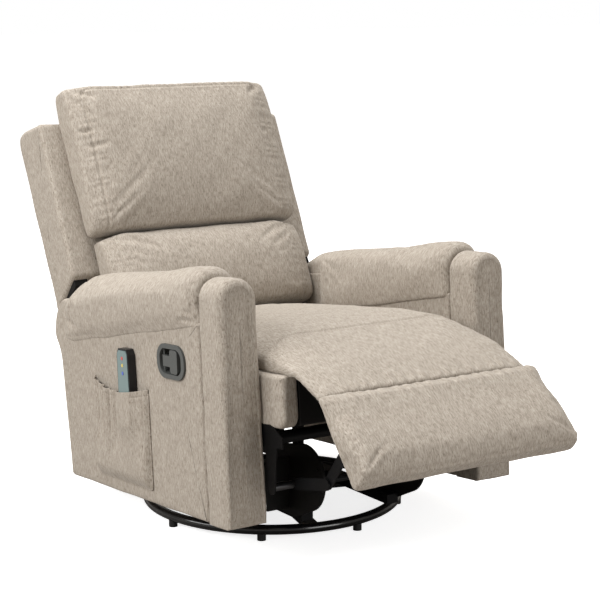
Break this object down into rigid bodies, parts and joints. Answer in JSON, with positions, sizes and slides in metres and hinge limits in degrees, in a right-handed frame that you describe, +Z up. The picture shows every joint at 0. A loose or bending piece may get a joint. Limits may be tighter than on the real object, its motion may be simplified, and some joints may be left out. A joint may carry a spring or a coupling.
{
  "type": "glider nursery chair",
  "caption": "Swivel glider recliner with ring base, padded arms, side pocket with remote, pull handle, reclining back and fold-out footrest.",
  "frame": {"origin": "on the floor under the middle of the resting box; the swivel axis stands 76 mm behind it", "axes": "+Z up, the sitter faces -Y, +X towards the sitter's left arm"},
  "size_m": [0.792, 1.4101, 0.9788],
  "materials": {
    "ring_black": "gloss black powder coat",
    "frame_black": "satin black powder coat",
    "link_black": "satin black paint",
    "cover_black": "matt black",
    "zinc": "bright zinc plate",
    "foot_rubber": "matt",
    "cable_jacket": "satin",
    "plywood": "raw birch ply",
    "chenille": "heathered warm greige chenille",
    "chenille_shade": "heathered warm greige chenille",
    "handle_grey": "fine moulded grain",
    "remote_black": "satin",
    "remote_panel": "printed film",
    "button_red": "soft touch",
    "button_yellow": "soft touch",
    "button_blue": "soft touch"
  },
  "bodies": {
    "base": {"base_ring": "ring_black", "base_legs": "frame_black", "base_hub": "frame_black", "base_feet": "foot_rubber", "swivel_bearing": "zinc", "swivel_bolt": "zinc"},
    "turntable": {"swivel_plate": "frame_black", "glide_side_rails": "frame_black", "glide_cross_channels": "frame_black", "side_plate_left": "cover_black", "side_plate_right": "cover_black", "glide_upper_pins": "zinc"},
    "front_glide_links": {"front_glide_links": "link_black"},
    "rear_glide_links": {"rear_glide_links": "link_black"},
    "seat": {"glide_lower_pins": "zinc", "glide_hangers": "frame_black", "cross_tubes": "frame_black", "seat_rail_left": "frame_black", "seat_rail_right": "frame_black", "spring_rails": "frame_black", "seat_springs": "zinc", "seat_box": "chenille_shade", "seat_cushion": "chenille", "arm_outer_left": "chenille", "arm_core_left": "plywood", "arm_inner_left": "chenille_shade", "arm_post_left": "chenille", "arm_pad_left": "chenille", "arm_outer_right": "chenille", "arm_core_right": "plywood", "arm_inner_right": "chenille_shade", "arm_post_right": "chenille", "arm_pad_right": "chenille", "side_pocket": "chenille", "handle_bezel": "handle_grey", "release_cable": "cable_jacket", "recline_pins": "zinc", "chaise_hinge_pins": "zinc", "fold_pivot_pins": "zinc"},
    "pull_lever": {"pull_lever": "handle_grey"},
    "remote": {"remote_body": "remote_black", "remote_face": "remote_panel"},
    "power_button": {"power_button": "button_red"},
    "massage_button": {"massage_button": "button_yellow"},
    "heat_button": {"heat_button": "button_blue"},
    "back": {"back_bracket_left": "frame_black", "back_bracket_right": "frame_black", "back_shell": "chenille", "back_frame": "plywood", "back_front_panel": "chenille_shade", "lower_back_cushion": "chenille", "upper_back_cushion": "chenille"},
    "chaise": {"chaise_board": "plywood", "chaise_pad": "chenille"},
    "rear_fold_links": {"rear_fold_links": "link_black", "fold_cross_rod": "frame_black"},
    "front_fold_links": {"front_fold_links": "link_black"},
    "footrest": {"footrest_brackets": "frame_black", "footrest_board": "plywood", "footrest_pad": "chenille"}
  },
  "joints": [
    {"name": "swivel", "type": "hinge", "parent": "base", "child": "turntable", "pos_m": [0, 0.076, 0.0524], "axis": [0, 0, 1], "continuous": true},
    {"name": "glide", "type": "hinge", "parent": "turntable", "child": "front_glide_links", "pos_m": [0, -0.209, 0.21], "axis": [1, 0, 0], "range_deg": [-16, 16]},
    {"name": "seat_swing", "type": "hinge", "parent": "front_glide_links", "child": "seat", "pos_m": [0, -0.209, 0.105], "axis": [1, 0, 0], "range_deg": [-16, 16]},
    {"name": "rear_link_swing", "type": "hinge", "parent": "turntable", "child": "rear_glide_links", "pos_m": [0, 0.291, 0.21], "axis": [1, 0, 0], "range_deg": [-16, 16]},
    {"name": "recline", "type": "hinge", "parent": "seat", "child": "back", "pos_m": [0, 0.37544, 0.36817], "axis": [-1, 0, 0], "range_deg": [-9, 22]},
    {"name": "footrest_fold", "type": "hinge", "parent": "seat", "child": "rear_fold_links", "pos_m": [0, -0.36891, 0.18891], "axis": [1, 0, 0], "range_deg": [0, 42]},
    {"name": "fold_elbow", "type": "hinge", "parent": "rear_fold_links", "child": "front_fold_links", "pos_m": [0, -0.49075, 0.21682], "axis": [1, 0, 0], "range_deg": [-84, 0]},
    {"name": "footrest_tilt", "type": "hinge", "parent": "front_fold_links", "child": "footrest", "pos_m": [0, -0.56615, 0.31651], "axis": [1, 0, 0], "range_deg": [0, 76.1]},
    {"name": "chaise_fold", "type": "hinge", "parent": "seat", "child": "chaise", "pos_m": [0, -0.44454, 0.42601], "axis": [1, 0, 0], "range_deg": [0, 48.1]},
    {"name": "lever_pull", "type": "hinge", "parent": "seat", "child": "pull_lever", "pos_m": [-0.377, -0.08468, 0.4234], "axis": [0, -0.0767, -0.9971], "range_deg": [0, 26], "stiffness_Nm_per_rad": 0.6},
    {"name": "remote_lift", "type": "slide", "parent": "seat", "child": "remote", "axis": [0, 0.0767, 0.9971], "range_m": [0, 0.018]},
    {"name": "power_press", "type": "slide", "parent": "remote", "child": "power_button", "axis": [1, 0, 0], "range_m": [0, 0.0008], "stiffness_N_per_m": 250},
    {"name": "massage_press", "type": "slide", "parent": "remote", "child": "massage_button", "axis": [1, 0, 0], "range_m": [0, 0.0008], "stiffness_N_per_m": 250},
    {"name": "heat_press", "type": "slide", "parent": "remote", "child": "heat_button", "axis": [1, 0, 0], "range_m": [0, 0.0008], "stiffness_N_per_m": 250}
  ],
  "couplings": [
    {"joint": "seat_swing", "follows": "glide", "ratio": -1},
    {"joint": "rear_link_swing", "follows": "glide", "ratio": 1},
    {"joint": "fold_elbow", "follows": "footrest_fold", "ratio": -2},
    {"joint": "footrest_tilt", "follows": "footrest_fold", "ratio": 1.8095},
    {"joint": "chaise_fold", "follows": "footrest_fold", "ratio": 1.1429}
  ]
}
